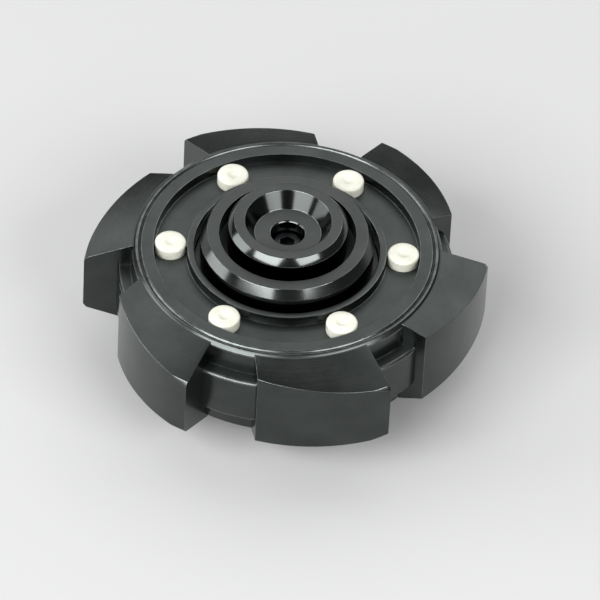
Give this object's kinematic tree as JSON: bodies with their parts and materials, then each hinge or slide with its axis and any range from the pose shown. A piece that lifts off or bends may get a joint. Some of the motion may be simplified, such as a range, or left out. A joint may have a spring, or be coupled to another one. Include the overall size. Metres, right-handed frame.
{
  "type": "fidget spinner",
  "caption": "Black metal fidget spinner: saw-toothed rotor with pale round inserts, turning on a ball bearing between two stepped finger buttons.",
  "frame": {"origin": "centre of the bearing, on the spin axis, half way between the two button faces", "axes": "+Z along the spin axis through the upper button; +X through the centre of the first insert"},
  "size_m": [0.0562, 0.0516, 0.0254],
  "materials": {
    "rotor_black": "satin black anodised",
    "button_black": "fine turned, black anodised",
    "glow_resin": "cast, slightly cloudy",
    "bearing_steel": "ground and polished",
    "black_steel": "black oxide",
    "brass": "lapped",
    "cage_nylon": "moulded nylon"
  },
  "bodies": {
    "hub": {"upper_button": "button_black", "lower_button": "button_black", "clamp_screw": "black_steel", "bearing_inner_race": "bearing_steel", "upper_shim": "brass", "lower_shim": "brass"},
    "rotor": {"rotor_body": "rotor_black", "insert_top_1": "glow_resin", "insert_bottom_1": "glow_resin", "insert_top_2": "glow_resin", "insert_bottom_2": "glow_resin", "insert_top_3": "glow_resin", "insert_bottom_3": "glow_resin", "insert_top_4": "glow_resin", "insert_bottom_4": "glow_resin", "insert_top_5": "glow_resin", "insert_bottom_5": "glow_resin", "insert_top_6": "glow_resin", "insert_bottom_6": "glow_resin", "bearing_outer_race": "bearing_steel", "upper_lock_ring": "black_steel", "lower_lock_ring": "black_steel", "upper_shield": "bearing_steel", "lower_shield": "bearing_steel"},
    "cage": {"bearing_cage": "cage_nylon", "bearing_ball_1": "bearing_steel", "bearing_ball_2": "bearing_steel", "bearing_ball_3": "bearing_steel", "bearing_ball_4": "bearing_steel", "bearing_ball_5": "bearing_steel", "bearing_ball_6": "bearing_steel", "bearing_ball_7": "bearing_steel"}
  },
  "joints": [
    {"name": "rotor_spin", "type": "hinge", "parent": "hub", "child": "rotor", "pos_m": [0, 0, 0], "axis": [0, 0, 1], "continuous": true},
    {"name": "cage_spin", "type": "hinge", "parent": "hub", "child": "cage", "pos_m": [0, 0, 0], "axis": [0, 0, 1], "continuous": true}
  ],
  "couplings": [
    {"joint": "cage_spin", "follows": "rotor_spin", "ratio": 0.6323}
  ]
}
